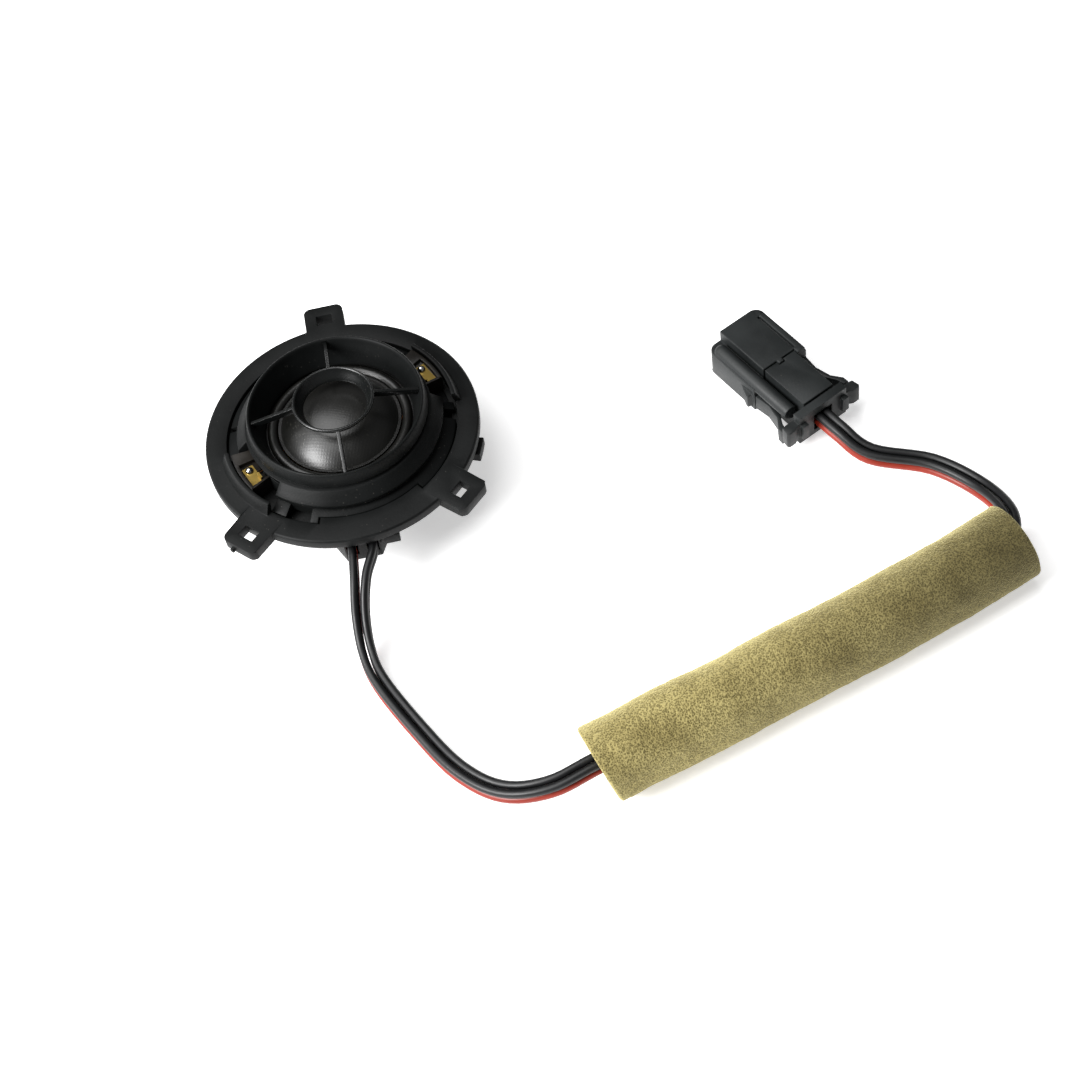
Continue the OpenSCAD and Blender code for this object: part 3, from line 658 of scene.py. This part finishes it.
class TWEETER_OT_lead(bpy.types.Operator):
    """Lays the four wires of the lead"""
    bl_idname = "tweeter.lead"
    bl_label = "Lead"

    def execute(self, context):
        colours = context.scene.tweeter_lead
        # The sleeve and the plug's pieces are all on the lead
        plug = [frame["nodes"]["plug_contacts"], bpy.data.objects["foam_sleeve_soft"]]
        plug += [bpy.data.objects[name + "_moulding"] for name in PLUG_PARTS]
        for index, name in enumerate(WIRES):
            red = name == "wire_red"
            material = wire_insulation("Red insulation" if red else "Black insulation",
                                       colours.red if red else colours.black)
            make_wire(name, index, material)
        return {"FINISHED"}


def bore_radius(share, bore_d):
    """The bore is drawn in round the lead at its first end, and spreads at its last."""
    opened = min(max((share - 0.25) / 0.18, 0), 1)
    spread = max((share - 0.88) / 0.12, 0)
    return bore_d / 2 * (0.62 + 0.38 * opened + 0.16 * spread)


def foam_rings(sizes, length):
    """Share and radius of each ring: along the outside, back through the bore, and closed."""
    outer = sizes.outer_d / 2
    face = outer - FOAM_EDGE
    first, last = bore_radius(0, sizes.bore_d), bore_radius(1, sizes.bore_d)
    rings = []
    for k in range(sizes.rings + 1):
        share = k / sizes.rings
        end = min(share, 1 - share) * length
        drop = math.sqrt(max(FOAM_EDGE ** 2 - (FOAM_EDGE - end) ** 2, 0))
        rings.append((share, outer - (0 if end > FOAM_EDGE else FOAM_EDGE - drop)))
    rings += [(1.0, face - (face - last) * k / END_RINGS) for k in range(1, END_RINGS + 1)]
    rings += [(1 - k / BORE_RINGS, bore_radius(1 - k / BORE_RINGS, sizes.bore_d))
              for k in range(1, BORE_RINGS)]
    rings += [(0.0, first + (face - first) * k / END_RINGS) for k in range(END_RINGS)]
    return rings


def foam_reach(centre, out, angle, radius, bore, outer):
    """Radius of the foam's skin, with its flattened section, its seam and its uneven cells."""
    if radius <= bore + 1e-6:
        return radius
    # The strip's edges meet in a blunt ridge low on the near side
    seam = math.exp(-((math.cos(angle - SEAM_ANGLE) - 1) / 0.10) ** 2)
    flat = 0.965 - 0.02 * math.cos(2 * angle)
    part = (radius - bore) / (outer - bore)
    reach = bore + (radius - bore) * (flat + 0.10 * seam)
    skin = centre + out * reach
    wave = noise.noise(skin * 70) * 0.00035 + noise.noise(skin * 260) * 0.00012
    cells = noise.noise(skin * 1500) * 0.00009
    return reach + (wave + cells) * part


class TWEETER_OT_foam(bpy.types.Operator):
    """Makes the foam sleeve round the lead"""
    bl_idname = "tweeter.foam"
    bl_label = "Foam sleeve"

    def execute(self, context):
        sizes = context.scene.tweeter_foam
        line = smooth_line(FOAM_LINE, 40)
        total = running_length(line)
        length = total[-1]

        mesh = bmesh.new()
        loops = []
        for share, radius in foam_rings(sizes, length):
            reach = share * length
            i = min(max(k for k in range(len(total)) if total[k] <= reach + 1e-12), len(line) - 2)
            centre = line[i].lerp(line[i + 1], (reach - total[i]) / (total[i + 1] - total[i]))
            ahead = heading(line, i)
            side = ahead.cross(Vector((0, 0, 1))).normalized()
            up = side.cross(ahead)
            bore = bore_radius(share, sizes.bore_d)
            slant = FIRST_SLANT * max(1 - share * length / SLANT_REACH, 0)
            slant += LAST_SLANT * max(1 - (1 - share) * length / SLANT_REACH, 0)
            loop = []
            for j in range(FOAM_SIDES):
                angle = 2 * math.pi * j / FOAM_SIDES
                out = side * math.cos(angle) + up * math.sin(angle)
                point = centre + out * foam_reach(centre, out, angle, radius, bore,
                                                  sizes.outer_d / 2)
                point -= ahead * slant * (point.z - centre.z)
                point.z = max(point.z, FLOOR_GAP)
                loop.append(mesh.verts.new(point))
            loops.append(loop)
        for near, far in zip(loops, loops[1:] + loops[:1]):
            for j in range(FOAM_SIDES):
                m = (j + 1) % FOAM_SIDES
                mesh.faces.new((near[j], near[m], far[m], far[j]))
        data = bpy.data.meshes.new("foam_sleeve_soft")
        mesh.to_mesh(data)
        mesh.free()
        foam = bpy.data.objects.new("foam_sleeve_soft", data)
        context.scene.collection.objects.link(foam)
        only(foam)
        bpy.ops.object.mode_set(mode="EDIT")
        bpy.ops.mesh.select_all(action="SELECT")
        bpy.ops.mesh.remove_doubles(threshold=MERGE_DISTANCE / 2)
        bpy.ops.mesh.normals_make_consistent(inside=False)
        bpy.ops.object.mode_set(mode="OBJECT")
        bpy.ops.object.shade_smooth()
        dress(foam, open_cell_foam())
        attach(foam, "frame")
        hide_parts("foam_sleeve")
        return {"FINISHED"}


# Tweeter -------------------------------------------------------------------------------------

class TWEETER_OT_mouldings(bpy.types.Operator):
    """Rounds the edges of the tweeter's black mouldings and gives them their grain"""
    bl_idname = "tweeter.mouldings"
    bl_label = "Mouldings"

    def execute(self, context):
        plastic = context.scene.tweeter_plastic
        matt = moulded_plastic("Matt black moulding", plastic.black, gloss=(0.44, 0.56),
                               specular=0.15)
        horn = moulded_plastic("Black horn moulding", plastic.black, gloss=(0.42, 0.52), dust=0.12,
                               specular=0.1)
        guard = moulded_plastic("Glossy black moulding", plastic.black, gloss=(0.2, 0.3), dust=0.12,
                                specular=0.5)
        for node, width in MOULDED.items():
            material = {"horn": horn, "guard_ring": guard}.get(node, matt)
            finished_copy(node, width, material, "frame")
        brown = moulded_plastic("Brown moulding", (0.009, 0.0075, 0.006), gloss=(0.3, 0.5))
        for node, width in TERMINAL_BLOCKS.items():
            finished_copy(node, width, brown, "frame")
        return {"FINISHED"}


class TWEETER_OT_diaphragm(bpy.types.Operator):
    """Gives the dome and its surround their coated cloth"""
    bl_idname = "tweeter.diaphragm"
    bl_label = "Diaphragm"

    def execute(self, context):
        cloth = dome_cloth()
        for node in ("dome", "surround"):
            dress(frame["nodes"][node], cloth)
        return {"FINISHED"}


class TWEETER_OT_motor(bpy.types.Operator):
    """Finishes the motor, the terminals and the crossover"""
    bl_idname = "tweeter.motor"
    bl_label = "Motor and terminals"

    def execute(self, context):
        brass = metal("Stamped brass", tuple(context.scene.tweeter_motor.brass), (0.28, 0.46))
        plated = metal("Plated steel", (0.5, 0.52, 0.54), (0.25, 0.45))
        finishes = {
            "coil_former": metal("Former film", (0.45, 0.33, 0.12), (0.35, 0.5)),
            "voice_coil": metal("Enamelled copper", (0.55, 0.19, 0.06), (0.2, 0.35)),
            "coil_leads": metal("Glued-down copper", (0.085, 0.035, 0.015), (0.4, 0.55)),
            "pole_plate": plated,
            "motor_pot": plated,
            "magnet": metal("Nickel plating", (0.6, 0.6, 0.6), (0.12, 0.25)),
            "terminal_lug_left": brass,
            "terminal_lug_right": brass,
            "plug_contacts": brass,
            "solder_joints": metal("Solder", (0.75, 0.75, 0.74), (0.1, 0.25)),
            "lead_header": moulded_plastic("White header", (0.6, 0.56, 0.45), (0.35, 0.5), 0.0),
            "damping_felt": moulded_plastic("Grey felt", (0.22, 0.21, 0.19), (0.8, 0.95), 0.0,
                                            1200.0),
            "inner_leads": wire_insulation("Grey insulation", (0.09, 0.095, 0.1)),
            "crossover_board": moulded_plastic("Green board", (0.03, 0.10, 0.03), (0.25, 0.4),
                                               0.05),
            "crossover_capacitor": moulded_plastic("Dipped coating", (0.36, 0.05, 0.02),
                                                   (0.2, 0.35), 0.0),
        }
        for node, material in finishes.items():
            dress(frame["nodes"][node], material)
        return {"FINISHED"}


class TWEETER_OT_plug(bpy.types.Operator):
    """Rounds the plug's edges and gives it its grain"""
    bl_idname = "tweeter.plug"
    bl_label = "Plug"

    def execute(self, context):
        plastic = context.scene.tweeter_plastic
        material = moulded_plastic("Plug moulding", plastic.plug, gloss=(0.42, 0.56))
        for node, width in PLUG_PARTS.items():
            finished_copy(node, width, material, PLUG_BODIES.get(node, "frame"))
        return {"FINISHED"}


# Panel and registration ----------------------------------------------------------------------

OPERATORS = [TWEETER_OT_stage, TWEETER_OT_foam, TWEETER_OT_plug, TWEETER_OT_lead,
             TWEETER_OT_mouldings, TWEETER_OT_diaphragm, TWEETER_OT_motor]
GROUPS = {"tweeter_view": TweeterView, "tweeter_plastic": TweeterPlastic,
          "tweeter_lead": TweeterLead, "tweeter_foam": TweeterFoam,
          "tweeter_motor": TweeterMotor}


class TWEETER_PT_sidebar(bpy.types.Panel):
    """Lists the tweeter's sizes and its making steps"""
    bl_idname = "TWEETER_PT_sidebar"
    bl_label = "Car tweeter"
    bl_space_type = "VIEW_3D"
    bl_region_type = "UI"
    bl_category = "Tweeter"

    def draw(self, context):
        for name, group in GROUPS.items():
            box = self.layout.box()
            for prop in group.__annotations__:
                box.prop(getattr(context.scene, name), prop)
        for operator in OPERATORS:
            self.layout.operator(operator.bl_idname)


def register():
    for group in GROUPS.values():
        bpy.utils.register_class(group)
    for name, group in GROUPS.items():
        setattr(bpy.types.Scene, name, PointerProperty(type=group))
    for operator in OPERATORS:
        bpy.utils.register_class(operator)
    bpy.utils.register_class(TWEETER_PT_sidebar)


def unregister():
    bpy.utils.unregister_class(TWEETER_PT_sidebar)
    for operator in reversed(OPERATORS):
        bpy.utils.unregister_class(operator)
    for name, group in GROUPS.items():
        delattr(bpy.types.Scene, name)
        bpy.utils.unregister_class(group)


def main():
    register()
    bpy.ops.tweeter.stage()
    bpy.ops.tweeter.foam()
    bpy.ops.tweeter.plug()
    bpy.ops.tweeter.lead()
    bpy.ops.tweeter.mouldings()
    bpy.ops.tweeter.diaphragm()
    bpy.ops.tweeter.motor()


if __name__ == "__main__":
    main()
